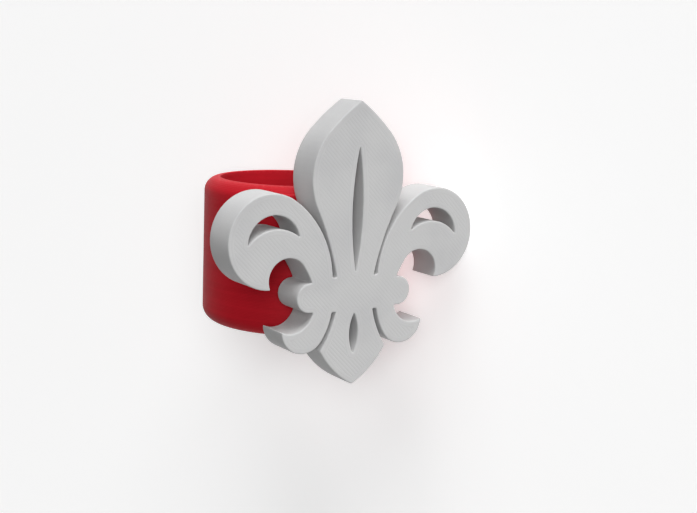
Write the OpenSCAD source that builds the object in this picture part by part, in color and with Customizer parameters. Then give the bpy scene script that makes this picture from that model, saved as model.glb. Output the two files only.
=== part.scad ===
// Neckerchief slide: a printed ring with a pierced lily emblem glued to the flat seat on its front.
// Millimetres. Each part is drawn round the ring's middle, with x across the emblem, y towards the
// back and z up the emblem. The slide is then laid on its side, as it rests by itself.

/* [Ring] */
// Inside diameter, which the neckerchief runs through
bore_d = 20.9; // [18:0.1:24]
// Thickness of the wall
wall = 2.2; // [2.1:0.1:3]
// Height along the ring's axis
ring_h = 20.2; // [19:0.1:24]
// Radius on the two outer edges
ring_edge_r = 2; // [0.5:0.1:2]

/* [Seat for the emblem] */
// Depth that the front of the ring's wall is cut flat by
seat_cut = 1.45; // [0.8:0.05:1.6]
// Width of the seat block
seat_w = 16.5; // [14:0.5:18]
// Height of the seat block
seat_h = 7.5; // [5:0.5:9]
// Distance from the ring's top down to the top of the seat block
seat_down = 0.9; // [0.5:0.1:2]
// Thickness of the glue between the seat and the emblem
glue_t = 0.1; // [0.05:0.05:0.2]

/* [Emblem] */
// Width over the two side petals
emblem_w = 37.8; // [36:0.2:42]
// Height from the foot's point to the top point
emblem_h = 37.6; // [36:0.2:40]
// Thickness of the plate
emblem_t = 5; // [3:0.5:6]
// Height of the ring's lower edge above the foot's point
foot_below = 5.65; // [4:0.05:8]

/* [Petals and slots] */
// Width of the centre petal
petal_w = 14.1; // [13:0.1:15]
// Height of the widest place of the centre petal
petal_z = 27.6; // [27:0.1:28.4]
// Radius of the round head of each side petal
curl_r = 6.15; // [5.8:0.05:6.4]
// Height of the middle of the side petals' heads
curl_z = 19.8; // [19.4:0.1:20.4]
// Width of the slots beside the centre petal and beside the foot
slot_w = 0.6; // [0.5:0.1:1.2]
// Width of the long vein that is cut through the centre petal
vein_w = 1.6; // [0.8:0.1:2.4]

/* [Band and tails] */
// Width of the band over its round ends
band_w = 17.7; // [16.5:0.1:19]
// Height of the band
band_h = 3.9; // [3.4:0.1:4.2]
// Height of the band's middle
band_z = 12.2; // [12:0.1:12.4]
// Radius of the curled side tails
tail_r = 3.3; // [3.1:0.1:3.5]

/* [Hidden] */
$fn = 96;

bore_r = bore_d / 2;
ring_r = bore_r + wall;
seat_y = ring_r - seat_cut;
emblem_y = seat_y + glue_t;

// The places where the outlines' lines and arcs meet, as [across, up] from the foot's point
neck_x = 2.9;
petal_r = 8.8;
petal_centre = [petal_w / 2 - petal_r, petal_z];
petal_low_a = -27;
petal_high_a = 43;
curl_centre = [emblem_w / 2 - curl_r, curl_z];
curl_high_a = 124;
hook_x = 6.65;
hook_side_rise = 0.1;
hook_rise = 2.3;
band_low = band_z - band_h / 2;
band_high = band_z + band_h / 2;
slot_drop = 0.2;
slot_lift = 0.5;
slot_low = band_low - slot_drop;
slot_high = band_high + slot_lift;
band_end_x = band_w / 2 - band_h / 2;
tail_centre = [7.7, 8.2];
tail_low_a = 216;
tail_tip_a = 358;
tail_scoop = 1.35;
tail_inset = 0.3;
tail_lap = 0.15;
foot_shoulder_a = 232;
foot_flare = 0.3;
foot_side_rise = 0.28;
foot_rise = 0.5;

petal_low = on_circle(petal_centre, petal_r, petal_low_a);
petal_high = on_circle(petal_centre, petal_r, petal_high_a);
petal_neck = [neck_x, slot_high];
petal_tip = [0, emblem_h];
hook_bend = curl_centre + [-4.55, -3];
curl_tip = on_circle(curl_centre, curl_r, -90);
curl_high = on_circle(curl_centre, curl_r, curl_high_a);
curl_root = [neck_x + slot_w, slot_high];
tail_high = [neck_x + slot_w, slot_low];
tail_low = on_circle(tail_centre, tail_r, tail_low_a);
tail_tip = on_circle(tail_centre, tail_r, tail_tip_a);
tail_root = [hook_x - tail_inset, band_low + tail_lap];
foot_shoulder = on_circle(tail_centre, tail_r + slot_w + foot_flare, foot_shoulder_a);

// The leaves that are cut through the plate, each from tip to tip, with the rises of its two edges
long_vein = [[0, 15.2], [0, 31.6]];
foot_vein = [[0, 4.2], [0, 9.7]];
foot_vein_w = 1.3;
side_leaf = [curl_centre + [3.35, -0.3], curl_centre + [-4.05, 0.5]];
side_leaf_rises = [3.3, -1.5];

// At its sides the seat block reaches back to the middle of the ring's wall
seat_back = sqrt(pow(bore_r + wall / 2, 2) - pow(seat_w / 2, 2));

// How far the cutting solids reach past what they cut
past = 1;

// On its side the slide rests on the ring and on the back edge of a side petal, so it leans by
// the angle at which both are equally low
lean = acos(ring_r / norm([emblem_w / 2, emblem_y])) - atan2(emblem_y, emblem_w / 2);
front_y = emblem_w / 2 * sin(lean) + (emblem_y + emblem_t) * cos(lean);
foot_z = -ring_h / 2 - foot_below;

// Largest distance between an arc of the emblem and its flat steps
arc_error = 0.01;

function on_circle(centre, r, a) = centre + r * [cos(a), sin(a)];

// Rise of an arc of radius r that turns by the angle sweep
function arc_rise(r, sweep) = r * (1 - cos(sweep / 2));

// Rise of the arc that leaves the point from in the direction a and ends at the point to
function smooth_rise(from, to, a) =
    norm(to - from) / 2 * tan((atan2(to.y - from.y, to.x - from.x) - a) / 2);

// A row of an outline: a point, and how far the edge from it to the next point bows outwards,
// or inwards if it is negative
function row(point, rise = 0) = [point.x, point.y, rise];

// Points from one row's point along its arc, up to the next row's point and without it
function arc_points(from, to) =
    let (
        chord = [to.x - from.x, to.y - from.y],
        half = norm(chord) / 2,
        rise = from.z
    )
    rise == 0 ? [[from.x, from.y]] :
    let (
        r = (half * half + rise * rise) / (2 * rise),
        outward = [chord.y, -chord.x] / norm(chord),
        centre = [from.x + to.x, from.y + to.y] / 2 + outward * (rise - r),
        start = atan2(from.y - centre.y, from.x - centre.x),
        sweep = 4 * atan(rise / half),
        steps = ceil(abs(sweep) / (2 * acos(1 - arc_error / abs(r))))
    )
    [for (i = [0:steps - 1]) on_circle(centre, abs(r), start + sweep * i / steps)];

// Flat shape inside the rows, which run anticlockwise
module outline(rows) {
    last = len(rows) - 1;
    polygon([for (i = [0:last]) each arc_points(rows[i], rows[i < last ? i + 1 : 0])]);
}

// Slender leaf between two tips, straight or bent to one side
module leaf(tips, rises) {
    outline([row(tips[0], rises[0]), row(tips[1], rises[1])]);
}

module half_centre_petal() {
    outline([
        row([0, band_z]),
        row([neck_x, band_z]),
        row(petal_neck, -smooth_rise(petal_low, petal_neck, petal_low_a - 90)),
        row(petal_low, arc_rise(petal_r, petal_high_a - petal_low_a)),
        row(petal_high, smooth_rise(petal_high, petal_tip, petal_high_a + 90)),
        row(petal_tip),
    ]);
}

module side_petal() {
    outline([
        row([hook_x, band_z]),
        row([hook_x, band_high], -hook_side_rise),
        row(hook_bend, -hook_rise),
        row(curl_tip, arc_rise(curl_r, curl_high_a + 90)),
        row(curl_high, smooth_rise(curl_high, curl_root, curl_high_a + 90)),
        row(curl_root),
        row([curl_root.x, band_z]),
    ]);
}

module half_band() {
    outline([
        row([0, band_low]),
        row([band_end_x, band_low], band_h / 2),
        row([band_end_x, band_high]),
        row([0, band_high]),
    ]);
    // The slots end a little above and below the band
    translate([0, slot_low]) square([neck_x + slot_w, slot_high - slot_low]);
}

module side_tail() {
    outline([
        row([tail_high.x, band_z]),
        row(tail_high, -smooth_rise(tail_low, tail_high, tail_low_a - 90)),
        row(tail_low, arc_rise(tail_r, tail_tip_a - tail_low_a)),
        row(tail_tip, -tail_scoop),
        row(tail_root),
        row([tail_root.x, band_z]),
    ]);
}

module half_foot() {
    outline([
        row([0, 0], foot_rise),
        row(foot_shoulder, -foot_side_rise),
        row([neck_x, slot_low]),
        row([neck_x, band_z]),
        row([0, band_z]),
    ]);
}

module emblem_outline() {
    difference() {
        for (side = [0, 1])
            mirror([side, 0, 0]) {
                half_centre_petal();
                side_petal();
                half_band();
                side_tail();
                half_foot();
            }
        leaf(long_vein, [vein_w, vein_w] / 2);
        leaf(foot_vein, [foot_vein_w, foot_vein_w] / 2);
        for (side = [0, 1])
            mirror([side, 0, 0]) leaf(side_leaf, side_leaf_rises);
    }
}

module ring_body() {
    edge_x = ring_r - ring_edge_r;
    edge_z = ring_h / 2 - ring_edge_r;
    rotate_extrude() {
        translate([0, -ring_h / 2]) square([edge_x, ring_h]);
        translate([0, -edge_z]) square([ring_r, 2 * edge_z]);
        for (z = [-edge_z, edge_z]) translate([edge_x, z]) circle(ring_edge_r);
    }
}

module seat_block() {
    translate([-seat_w / 2, -seat_y, ring_h / 2 - seat_down - seat_h])
        cube([seat_w, seat_y - seat_back, seat_h]);
}

module at_rest() {
    translate([-foot_z - emblem_h / 2, (front_y - ring_r) / 2, ring_r])
        rotate([0, 90, 0])
            rotate([0, 0, -lean])
                children();
}

module ring() {
    color("#9e1420")
        at_rest()
            difference() {
                union() {
                    ring_body();
                    seat_block();
                }
                cylinder(r = bore_r, h = ring_h + 2 * past, center = true);
                translate([-ring_r, -seat_y - wall, -ring_h / 2 - past])
                    cube([2 * ring_r, wall, ring_h + 2 * past]);
            }
}

module emblem() {
    color("#c2c2c2")
        at_rest()
            translate([0, -emblem_y, foot_z])
                rotate([90, 0, 0])
                    linear_extrude(emblem_t)
                        emblem_outline();
}

ring();
emblem();
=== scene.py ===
# Neckerchief slide: a printed ring with a pierced lily emblem glued to the flat seat on its front
import bmesh
import bpy
import math
import numpy as np
from mathutils import Matrix, Vector
from mathutils.geometry import delaunay_2d_cdt


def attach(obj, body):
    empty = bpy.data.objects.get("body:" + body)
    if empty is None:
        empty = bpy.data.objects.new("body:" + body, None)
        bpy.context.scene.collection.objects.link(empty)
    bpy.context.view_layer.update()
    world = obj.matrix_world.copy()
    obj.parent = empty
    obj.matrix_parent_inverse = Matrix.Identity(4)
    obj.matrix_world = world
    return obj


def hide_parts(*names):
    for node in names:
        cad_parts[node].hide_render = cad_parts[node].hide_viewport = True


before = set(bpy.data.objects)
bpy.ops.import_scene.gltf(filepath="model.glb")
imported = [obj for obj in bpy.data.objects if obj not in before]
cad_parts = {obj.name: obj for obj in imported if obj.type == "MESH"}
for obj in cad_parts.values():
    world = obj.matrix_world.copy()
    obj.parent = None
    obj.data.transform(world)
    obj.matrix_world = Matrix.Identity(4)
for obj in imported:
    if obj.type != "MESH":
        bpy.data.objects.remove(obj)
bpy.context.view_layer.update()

mm = 0.001
weldWithin = 1e-4  # millimetres
tiny = 1e-6


# The slide lies on its side. Its pieces are made standing upright round the ring's axis, in
# millimetres: x across the emblem, y up from the foot's point, z out of the face
slide = {
    "lean": 24.0632,  # degrees
    "axisPlace": (-18.8, 4.96992, 12.65),  # on the ring's axis, level with the foot's point
}

leanAngle = math.radians(slide["lean"])
across = Vector((0, -math.sin(leanAngle), -math.cos(leanAngle)))
upward = Vector((1, 0, 0))
outward = across.cross(upward)
asItLies = Matrix((across * mm, upward * mm, outward * mm)).transposed().to_4x4()
asItLies.translation = Vector(slide["axisPlace"]) * mm


def addMesh(name, points, faces):
    mesh = bpy.data.meshes.new(name)
    mesh.from_pydata(points, [], faces)
    mesh.update()
    made = bpy.data.objects.new(name, mesh)
    bpy.context.scene.collection.objects.link(made)
    return made


def placePiece(piece, settings, material):
    piece.data.transform(asItLies)
    piece.data.materials.append(material)
    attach(piece, "root")
    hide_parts(settings["node"])
    print(settings["node"] + " is made, with", len(piece.data.polygons), "faces")


# Camera, placed in metres
view = {
    "place": (0.025173, -0.093728, 0.152175),
    "aim": (-0.001541, -0.009173, 0.020079),
    "roll": -102.57,  # degrees, so that the emblem's top is at the picture's top
    "lens": 62.9,
    "nearest": 0.005,
}


def addCamera():
    camera = bpy.data.objects.new("camera", bpy.data.cameras.new("camera"))
    bpy.context.scene.collection.objects.link(camera)
    place = Vector(view["place"])
    turn = (Vector(view["aim"]) - place).to_track_quat("-Z", "Y").to_matrix().to_4x4()
    roll = Matrix.Rotation(math.radians(view["roll"]), 4, "Z")
    camera.matrix_world = Matrix.Translation(place) @ turn @ roll
    camera.data.lens = view["lens"]
    camera.data.clip_start = view["nearest"]
    bpy.context.scene.camera = camera


# Shader nodes
class Wire:  # what comes out of a socket, for sums
    def __init__(self, finish, socket):
        self.finish, self.socket = finish, socket

    def math(self, operation, *values):
        return self.finish.node("Math", {"operation": operation}, dict(enumerate(values)))

    def __add__(self, other): return self.math("ADD", self, other)
    def __radd__(self, other): return self.math("ADD", other, self)
    def __sub__(self, other): return self.math("SUBTRACT", self, other)
    def __rsub__(self, other): return self.math("SUBTRACT", other, self)
    def __mul__(self, other): return self.math("MULTIPLY", self, other)
    def __rmul__(self, other): return self.math("MULTIPLY", other, self)
    def __truediv__(self, other): return self.math("DIVIDE", self, other)
    def __rtruediv__(self, other): return self.math("DIVIDE", other, self)
    def __lt__(self, other): return self.math("LESS_THAN", self, other)
    def __gt__(self, other): return self.math("GREATER_THAN", self, other)
    def __abs__(self): return self.math("ABSOLUTE", self)


class Finish:  # the nodes of a material or of the sky
    def __init__(self, owner):
        self.owner = owner
        owner.use_nodes = True
        self.tree = owner.node_tree
        self.tree.nodes.clear()

    def node(self, kind, settings, values, result=0):
        made = self.tree.nodes.new("ShaderNode" + kind)
        for name, setting in settings.items():
            setattr(made, name, setting)
        sockets = {socket.identifier: socket for socket in made.inputs}
        for name, value in values.items():
            socket = made.inputs[name] if isinstance(name, int) else sockets[name]
            if isinstance(value, Wire):
                self.tree.links.new(value.socket, socket)
            else:
                socket.default_value = value
        if isinstance(result, int):
            return Wire(self, made.outputs[result]) if made.outputs else None
        return Wire(self, next(s for s in made.outputs if s.identifier == result))

    def spot(self):  # in millimetres
        return self.node("VectorMath", {"operation": "SCALE"},
                         {"Vector": self.node("TexCoord", {}, {}, "Object"), "Scale": 1 / mm})

    def along(self, vector, axis):
        return self.node("VectorMath", {"operation": "DOT_PRODUCT"},
                         {"Vector": vector, "Vector_001": axis}, "Value")

    def upright(self, spot):  # its x, y and z on the upright slide
        start = Vector(slide["axisPlace"])
        return [self.along(spot, axis) - axis.dot(start) for axis in (across, upward, outward)]

    def noise(self, spot, scale, detail):
        return self.node("TexNoise", {}, {"Vector": spot, "Scale": scale, "Detail": detail})

    def smooth(self, value, low, high):  # 0 below low, 1 above high
        return self.node("MapRange", {"interpolation_type": "SMOOTHSTEP"},
                         {"Value": value, "From Min": low, "From Max": high})

    def blend(self, first, second, mask):  # colours
        return self.node("Mix", {"data_type": "RGBA"},
                         {"Factor_Float": mask, "A_Color": first, "B_Color": second},
                         "Result_Color")

    def beads(self, place, width):  # rounded lines, 0 in the grooves and 1 on the crests
        step = self.node("Math", {"operation": "FRACT"}, {0: place / width})
        return 4 * step * (1 - step)


# Floor and lights, in metres
studio = {
    "floorSize": 8.0,
    "floorColor": (0.9, 0.9, 0.9, 1),
    "floorShade": (0.88, 0.88, 0.88, 1),  # in faint clouds
    "cloudScale": 0.01,  # a cloud is about 100 mm wide
    "floorGlow": 0.38,
    "floorRoughness": 0.9,
    "floorShine": 0.0,
    "skyColor": (0.08, 0.08, 0.08, 1),
    "horizonColor": (0.9, 0.9, 0.9, 1),
    "horizonRise": (0.12, 0.3),  # heights on a unit dome between which it fades
    "lampFar": 6.0,  # from the slide to each lamp, past the floor's edge
    "keyFrom": (0.93, -0.16, 0.16),  # direction, from the slide
    "keySize": 5.4,
    "keyLight": 1.25,  # on a surface that faces the lamp
    "fillFrom": (0.24, -0.54, 0.8),
    "fillSize": 3.0,
    "fillLight": 0.46,
}


def addLamp(name, direction, size, light):
    lamp = bpy.data.objects.new(name, bpy.data.lights.new(name, "AREA"))
    bpy.context.scene.collection.objects.link(lamp)
    lamp.data.shape = "DISK"
    lamp.data.size = size
    lamp.data.energy = light * (math.pi * studio["lampFar"]) ** 2
    toLamp = Vector(direction).normalized()
    lamp.location = Vector(view["aim"]) + toLamp * studio["lampFar"]
    lamp.rotation_euler = toLamp.to_track_quat("Z", "Y").to_euler()


def floorPaper():
    finish = Finish(bpy.data.materials.new("floor_paper"))
    cloud = finish.noise(finish.spot(), studio["cloudScale"], detail=3)
    color = finish.blend(studio["floorColor"], studio["floorShade"], cloud)
    shader = finish.node("BsdfPrincipled", {}, {
        "Base Color": color, "Roughness": studio["floorRoughness"],
        "Specular IOR Level": studio["floorShine"],
        "Emission Color": color, "Emission Strength": studio["floorGlow"]})
    finish.node("OutputMaterial", {}, {"Surface": shader})
    return finish.owner


def paleSky():  # dim overhead and pale round the horizon
    sky = Finish(bpy.data.worlds.new("studio"))
    rise = sky.node("SeparateXYZ", {}, {"Vector": sky.node("TexCoord", {}, {}, "Generated")}, "Z")
    overhead = sky.smooth(rise, *studio["horizonRise"])
    color = sky.blend(studio["horizonColor"], studio["skyColor"], overhead)
    glow = sky.node("Background", {}, {"Color": color})
    sky.node("OutputWorld", {}, {"Surface": glow})
    return sky.owner


def addStudio():
    addLamp("key_light", studio["keyFrom"], studio["keySize"], studio["keyLight"])
    addLamp("fill_light", studio["fillFrom"], studio["fillSize"], studio["fillLight"])
    bpy.context.scene.world = paleSky()
    half = studio["floorSize"] / 2
    corners = [(-half, -half, 0), (half, -half, 0), (half, half, 0), (-half, half, 0)]
    floor = addMesh("floor", corners, [(0, 1, 2, 3)])
    floor.data.materials.append(floorPaper())
    bpy.context.scene.view_settings.view_transform = "Standard"


# Printed plastic, in millimetres
printing = {
    "layerHigh": 0.2,
    "layerDeep": 0.014,
    "grainScale": 2.5,
    "grainDeep": 0.006,
    "wornGrain": (0.42, 0.7),  # where the grain is higher, an edge is rubbed lighter
    "wornMost": 0.5,
    "ior": 1.46,
    "roughness": 0.5,
    "grainRough": 0.12,  # what the grain adds to it
    "crestSmooth": 3.5,  # and what each millimetre of relief and full wear take off
    "wornSmooth": 0.1,
}


def printedPlastic(finish, spot, settings, relief, tint, edges):
    grain = finish.noise(spot, printing["grainScale"], detail=4)
    worn = edges * finish.smooth(grain, *printing["wornGrain"])
    color = finish.blend(settings["colorLow"], settings["color"], tint)
    color = finish.blend(color, settings["colorWorn"], worn * printing["wornMost"])
    roughness = (printing["roughness"] + grain * printing["grainRough"]
                 - relief * printing["crestSmooth"] - worn * printing["wornSmooth"])
    height = relief + grain * printing["grainDeep"]
    normal = finish.node("Bump", {}, {"Strength": 1.0, "Distance": mm, "Height": height})
    shader = finish.node("BsdfPrincipled", {}, {
        "Base Color": color, "Roughness": roughness, "Normal": normal,
        "Specular IOR Level": settings["shine"], "IOR": printing["ior"]})
    finish.node("OutputMaterial", {}, {"Surface": shader})
    return finish.owner


# Emblem, in millimetres
emblem = {
    "node": "emblem",
    "slot": "emblem_plastic",
    "back": 11.3,  # distances from the ring's axis
    "front": 16.3,
    "backRound": 0.1,  # radius of its edges
    "frontRound": 0.16,
    "cornerRound": 0.22,  # how far along each side an upright corner is rounded
    "cornerTurn": 22,  # degrees; a sharper turn is a corner
    "cornerShare": 0.45,  # of the way to the next corner, the most that is rounded
    "roundSteps": 4,
    "outlineStep": 0.35,
    "faceStep": 0.4,
    "wallRows": 8,
    "faceTurn": (0.85, 0.97),  # cosines between which the layers give way to the lines
    "lineWide": 0.42,  # printed lines on the front and the back
    "lineDeep": 0.010,
    "rims": 2,  # lines that run along the outline
    "rimSlack": 0.02,  # share of its distance from the edge that a point may be off by
    "wornWide": 0.3,
    "cloudScale": 0.12,
    "cloud": (0.3, 0.6),
    "color": (0.53, 0.53, 0.53, 1),
    "colorLow": (0.49, 0.49, 0.495, 1),
    "colorWorn": (0.6, 0.6, 0.6, 1),
    "shine": 0.2,
}


def sidesOf(loop):
    return list(zip(loop, loop[1:] + loop[:1]))


def closedLoops(following):  # from the point that follows each point
    loops = []
    while following:
        start, here = following.popitem()
        loop = [start]
        while here != start:
            loop.append(here)
            here = following.pop(here)
        loops.append(loop)
    return loops


def cadOutlines():  # the outlines of the CAD emblem's front, with the plate on their left
    solid = bmesh.new()
    solid.from_mesh(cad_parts[emblem["node"]].data)
    solid.transform(asItLies.inverted())
    bmesh.ops.remove_doubles(solid, verts=solid.verts, dist=weldWithin)
    middle = (emblem["back"] + emblem["front"]) / 2
    isFront = {face: all(v.co.z > middle for v in face.verts) for face in solid.faces}
    following = {}
    for face in solid.faces:
        for loop in face.loops:
            if isFront[face] and not isFront[loop.link_loop_radial_next.face]:
                following[loop.vert.index] = loop.link_loop_next.vert.index
    place = {v.index: (v.co.x, v.co.y) for v in solid.verts}
    solid.free()
    return [np.array([place[k] for k in loop]) for loop in closedLoops(following)]


def turns(outline):  # degrees that it turns by at each point
    before = outline - np.roll(outline, 1, 0)
    after = np.roll(outline, -1, 0) - outline
    cross = before[:, 0] * after[:, 1] - before[:, 1] * after[:, 0]
    return np.degrees(np.arctan2(cross, (before * after).sum(1)))


def roundCorners(outline):
    sides = np.linalg.norm(np.roll(outline, -1, 0) - outline, axis=1)
    length, marks = sides.sum(), np.cumsum(sides) - sides  # how far along each point is

    def at(mark):
        return np.array([np.interp(mark, marks, outline[:, k], period=length) for k in (0, 1)])

    def away(mark, others):  # by the shorter way round
        gap = abs(others - mark)
        return np.minimum(gap, length - gap)

    isCorner = abs(turns(outline)) > emblem["cornerTurn"]
    rounded = dict(zip(marks, outline))
    for mark, corner in zip(marks[isCorner], outline[isCorner]):
        near = away(mark, marks[isCorner & (marks != mark)])
        reach = min(emblem["cornerRound"], *(emblem["cornerShare"] * near))
        start, end = at(mark - reach), at(mark + reach)
        for other in marks[away(mark, marks) < reach]:
            del rounded[other]
        for t in np.linspace(0, 1, 2 * emblem["roundSteps"] + 1):
            point = (1 - t) ** 2 * start + 2 * t * (1 - t) * corner + t ** 2 * end
            rounded[(mark + (2 * t - 1) * reach) % length] = point
    return np.array([rounded[mark] for mark in sorted(rounded)])


def splitSides(outline, step):  # into even parts no longer than step
    points = []
    for here, there in zip(outline, np.roll(outline, -1, 0)):
        parts = max(1, math.ceil(np.linalg.norm(there - here) / step))
        points += [here + (there - here) * k / parts for k in range(parts)]
    return np.array(points)


def allSides(outlines):
    return np.vstack(outlines), np.vstack([np.roll(outline, -1, 0) for outline in outlines])


def inParts(points, most=400):  # few enough at a time for a table against all sides
    return np.array_split(points, len(points) // most + 1)


def edgeDistance(points, outlines):
    starts, ends = allSides(outlines)
    side = ends - starts
    nearest = []
    for part in inParts(points):
        off = part[:, None] - starts
        t = np.clip((off * side).sum(2) / (side * side).sum(1), 0, 1)
        nearest.append(np.linalg.norm(off - t[..., None] * side, axis=2).min(1))
    return np.concatenate(nearest)


def inside(points, outlines):  # a ray to the right crosses an odd number of sides
    starts, ends = allSides(outlines)
    side = ends - starts
    rise = np.where(side[:, 1] == 0, 1, side[:, 1])  # a level side is never crossed
    within = []
    for part in inParts(points):
        x, y = part[:, :1], part[:, 1:]
        spans = (starts[:, 1] > y) != (ends[:, 1] > y)
        crossing = starts[:, 0] + (y - starts[:, 1]) * side[:, 0] / rise
        within.append((spans & (x < crossing)).sum(1) % 2 == 1)
    return np.concatenate(within)


def facePoints(outlines):  # on the edge, in rows that follow it, and on a grid inside them
    edge, inward = np.vstack(outlines), []
    for outline in outlines:
        along = np.roll(outline, -1, 0) - np.roll(outline, 1, 0)
        along /= np.linalg.norm(along, axis=1)[:, None]
        inward.append(np.column_stack((-along[:, 1], along[:, 0])))
    inward = np.vstack(inward)
    quarter = np.linspace(0, math.pi / 2, emblem["roundSteps"] + 1)[1:]
    rows = list(emblem["frontRound"] * (1 - np.cos(quarter)))
    rows += [emblem["lineWide"] * (n + 1) for n in range(emblem["rims"])]
    points = [edge]
    for row in rows:
        tries = edge + inward * row
        isClear = abs(edgeDistance(tries, outlines) - row) < emblem["rimSlack"] * row
        points.append(tries[isClear & inside(tries, outlines)])
    step = emblem["faceStep"]
    spans = [np.arange(low, high, step) for low, high in zip(edge.min(0), edge.max(0))]
    grid = np.array([(x, y) for x in spans[0] for y in spans[1]])
    grid = grid[inside(grid, outlines)]
    points.append(grid[edgeDistance(grid, outlines) > rows[-1] + step / 2])
    return np.vstack(points)


def faceCells(points, outlines):  # the points, and triangles that fill the face
    fence, first = [], 0
    for outline in outlines:
        fence += sidesOf(list(range(first, first + len(outline))))
        first += len(outline)
    points, sides, cells, _, fenceOf, _ = delaunay_2d_cdt(
        [Vector(point) for point in points], fence, [], 0, tiny)
    points = np.array([tuple(point) for point in points])
    fenced = {frozenset(side) for side, made in zip(sides, fenceOf) if made}
    beside = {}
    for n, cell in enumerate(cells):
        for side in sidesOf(cell):
            beside.setdefault(frozenset(side), []).append(n)
    # the fill spreads from the cell that is furthest in, up to the fence
    middles = points[np.array(cells)].mean(1)
    depth = edgeDistance(middles, outlines) * inside(middles, outlines)
    spread = [int(depth.argmax())]
    filled = set(spread)
    while spread:
        for side in sidesOf(cells[spread.pop()]):
            for n in beside[frozenset(side)]:
                if frozenset(side) not in fenced and n not in filled:
                    filled.add(n)
                    spread.append(n)
    used = sorted({k for n in filled for k in cells[n]})
    number = {k: n for n, k in enumerate(used)}
    return points[used], [tuple(number[k] for k in cells[n]) for n in sorted(filled)]


def emblemMesh():
    outlines = [splitSides(roundCorners(outline), emblem["outlineStep"])
                for outline in cadOutlines()]
    points, cells = faceCells(facePoints(outlines), outlines)
    depth = edgeDistance(points, outlines)
    count = len(points)

    def flatSide(level, radius, out):  # with its edge rounded
        dip = np.maximum(radius - depth, 0)
        drop = radius - np.sqrt(radius ** 2 - dip ** 2)
        return np.column_stack((points, level - out * drop))

    front, back = emblem["front"], emblem["back"]
    made = [flatSide(front, emblem["frontRound"], 1), flatSide(back, emblem["backRound"], -1)]
    faces = cells + [tuple(k + count for k in cell[::-1]) for cell in cells]
    sides = {side for cell in cells for side in sidesOf(cell)}
    rims = closedLoops({a: b for a, b in sides if (b, a) not in sides})
    heights = np.linspace(front - emblem["frontRound"], back + emblem["backRound"],
                          emblem["wallRows"] + 1)[1:-1]
    first = 2 * count
    for rim in rims:
        levels = [rim]
        for height in heights:
            made.append(np.column_stack((points[rim], np.full(len(rim), height))))
            levels.append(list(range(first, first + len(rim))))
            first += len(rim)
        levels.append([k + count for k in rim])
        for upper, lower in zip(levels, levels[1:]):
            for (a, b), (c, d) in zip(sidesOf(upper), sidesOf(lower)):
                faces.append((a, c, d, b))
    piece = addMesh("lily_emblem", np.vstack(made).tolist(), faces)
    values = np.concatenate((depth, depth, np.zeros(first - 2 * count))).astype(np.float32)
    fromEdge = piece.data.attributes.new("fromEdge", "FLOAT", "POINT")
    fromEdge.data.foreach_set("value", values)
    piece.data.shade_smooth()
    return piece


def emblemPlastic():
    finish = Finish(bpy.data.materials.new("emblem_print"))
    spot = finish.spot()
    x, y, z = finish.upright(spot)
    facing = finish.along(finish.node("TexCoord", {}, {}, "Normal"), outward)
    onFace = finish.smooth(abs(facing), *emblem["faceTurn"])
    edge = finish.node("Attribute", {"attribute_name": "fromEdge"}, {}, "Fac")
    alongEdge = edge < emblem["lineWide"] * emblem["rims"]
    slanted = (x + y) * math.sqrt(0.5)  # across lines at 45 degrees
    lines = finish.beads(alongEdge * edge + (1 - alongEdge) * slanted, emblem["lineWide"])
    layers = finish.beads(z, printing["layerHigh"])
    relief = onFace * lines * emblem["lineDeep"] + (1 - onFace) * layers * printing["layerDeep"]
    cloud = finish.noise(spot, emblem["cloudScale"], detail=3)
    tint = finish.smooth(cloud, *emblem["cloud"])
    edges = (1 - finish.smooth(edge, 0.0, emblem["wornWide"])) * onFace
    return printedPlastic(finish, spot, emblem, relief, tint, edges)


# Ring, in millimetres
ring = {
    "node": "ring",
    "slot": "ring_plastic",
    "boreRadius": 10.45,
    "radius": 12.65,
    "high": 20.2,
    "middle": 15.75,  # above the foot's point
    "rimRound": 0.15,  # radius of the bore's edges
    "edgeRound": 2.0,  # radius of the outer edges
    "seatOut": 11.2,  # the flat seat, from the axis
    "cutRound": 0.15,
    "blockWide": 16.5,
    "blockLow": 1.7,  # the ends of the seat block, from the ring's middle
    "blockHigh": 9.2,
    "blockRound": 0.25,
    "wallRows": 36,
    "edgeSteps": 12,
    "rimSteps": 4,
    "turnSteps": 200,
    "closeSteps": 11,  # over each edge of the seat and of its block
    "cutSpread": 2.0,  # degrees that they reach to each side of the edge
    "blockSpread": 0.7,
    "closest": 0.1,  # degrees between them and the other steps
    "sharpTurn": 38,  # degrees; a sharper edge isn't shaded smooth
    "bandScale": (0.05, 1.7),  # long round the ring, and short along it
    "band": (0.35, 0.65),
    "wornWide": (0.05, 0.5),
    "color": (0.48, 0.0105, 0.020, 1),
    "colorLow": (0.445, 0.0095, 0.018, 1),
    "colorWorn": (0.55, 0.03, 0.04, 1),
    "shine": 0.08,
}


def softLess(a, b, soft):  # the lesser, rounded where they are close
    near = max(soft - abs(a - b), 0) / soft
    return min(a, b) - near * near * soft / 4


def rounding(reach, radius):  # how far a rounded edge falls back, by the distance from its end
    dip = max(radius - reach, 0)
    return radius - math.sqrt(max(radius ** 2 - dip ** 2, 0))


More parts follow.
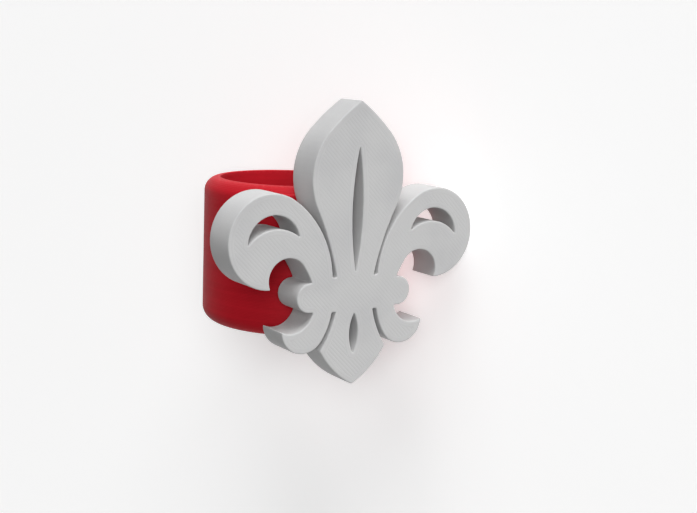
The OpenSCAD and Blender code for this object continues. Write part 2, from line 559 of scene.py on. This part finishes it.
def ringProfile():  # radius and height round the wall's section, and how far the block falls back
    half, bore = ring["high"] / 2, ring["boreRadius"]
    rim, big, soft = ring["rimRound"], ring["edgeRound"], ring["blockRound"]
    low, high = ring["blockLow"], ring["blockHigh"]
    turn = np.linspace(0, math.pi / 2, ring["edgeSteps"] + 1)
    smallTurn = np.linspace(0, math.pi / 2, ring["rimSteps"] + 1)
    edge = half - big + big * np.sin(turn)
    straight = np.linspace(big - half, half - big, ring["wallRows"] + 1)
    bend = soft * (1 - np.cos(smallTurn))
    heights = np.concatenate((edge, -edge, straight, low + bend, high - bend))
    heights = sorted(set(heights.round(4)), reverse=True)  # each height once

    def wall(start, end, hasBlock=False):
        return [(ring["radius"] - rounding(half - abs(h), big), h,
                 rounding(min(h - low, high - h), soft) if hasBlock else None)
                for h in heights if start >= h >= end]

    boreRim = [(bore + rim * (1 - math.cos(a)), half - rim + rim * math.sin(a), None)
               for a in smallTurn]
    inner = [(bore, h, None) for h in np.linspace(rim - half, half - rim, ring["wallRows"] + 1)]
    outer = wall(half, high) + wall(high, low, hasBlock=True) + wall(low, -half)
    lowerRim = [(radius, -h, None) for radius, h, _ in boreRim[::-1]]
    return inner[:-1] + boreRim + outer + lowerRim[:-1]


def ringTurns():  # degrees round the ring, closer together at the seat's edges
    seat, halfWide = ring["seatOut"], ring["blockWide"] / 2
    cut = math.degrees(math.acos(seat / ring["radius"]))
    corner = math.degrees(math.atan2(halfWide, seat))
    root = math.degrees(math.asin(halfWide / ring["radius"]))
    spread = np.linspace(-1, 1, ring["closeSteps"])
    atCut, atCorner = cut + ring["cutSpread"] * spread, corner + ring["blockSpread"] * spread
    close = np.concatenate((atCut, atCorner, [root]))
    close = np.concatenate((close, -close))
    even = np.linspace(-180, 180, ring["turnSteps"], endpoint=False)
    apart = abs(even[:, None] - close).min(1) > ring["closest"]
    return np.sort(np.concatenate((even[apart], close)))


def ringMesh():
    seat, halfWide = ring["seatOut"], ring["blockWide"] / 2
    profile, angles = ringProfile(), ringTurns()
    points = []
    for angle in np.radians(angles):
        sine, cosine = math.sin(angle), math.cos(angle)
        for radius, height, shrink in profile:
            out = radius
            if cosine > 0:
                out = softLess(radius, seat / cosine, ring["cutRound"])
            if cosine > 0 and shrink is not None:
                side = (halfWide - shrink) / max(abs(sine), tiny)
                block = softLess((seat - shrink) / cosine, side, ring["blockRound"])
                out = max(out, block)
            points.append((out * sine, ring["middle"] + height, out * cosine))
    count = len(profile)
    starts = [turn * count for turn in range(len(angles))]
    faces = [(here + k, here + n, there + n, there + k)
             for here, there in sidesOf(starts) for k, n in sidesOf(list(range(count)))]
    piece = addMesh("ring_band", points, faces)
    tidy = bmesh.new()
    tidy.from_mesh(piece.data)
    bmesh.ops.remove_doubles(tidy, verts=tidy.verts, dist=weldWithin)
    bmesh.ops.recalc_face_normals(tidy, faces=tidy.faces)
    tidy.to_mesh(piece.data)
    tidy.free()
    piece.data.shade_smooth()
    piece.data.set_sharp_from_angle(angle=math.radians(ring["sharpTurn"]))
    return piece


def ringPlastic():
    finish = Finish(bpy.data.materials.new("ring_print"))
    spot = finish.spot()
    x, y, z = finish.upright(spot)
    relief = finish.beads(y, printing["layerHigh"]) * printing["layerDeep"]
    # each few layers differ a little, and the rims are rubbed
    long, short = ring["bandScale"]
    stretched = finish.node("CombineXYZ", {}, {"X": x * long, "Y": y * short, "Z": z * long})
    bands = finish.smooth(finish.noise(stretched, scale=1, detail=2), *ring["band"])
    rim = ring["high"] / 2
    narrow, wide = ring["wornWide"]
    edges = finish.smooth(abs(y - ring["middle"]), rim - wide, rim - narrow)
    return printedPlastic(finish, spot, ring, relief, bands, edges)


addCamera()
addStudio()
print("the camera, the floor and the lights are set")
placePiece(emblemMesh(), emblem, emblemPlastic())
placePiece(ringMesh(), ring, ringPlastic())
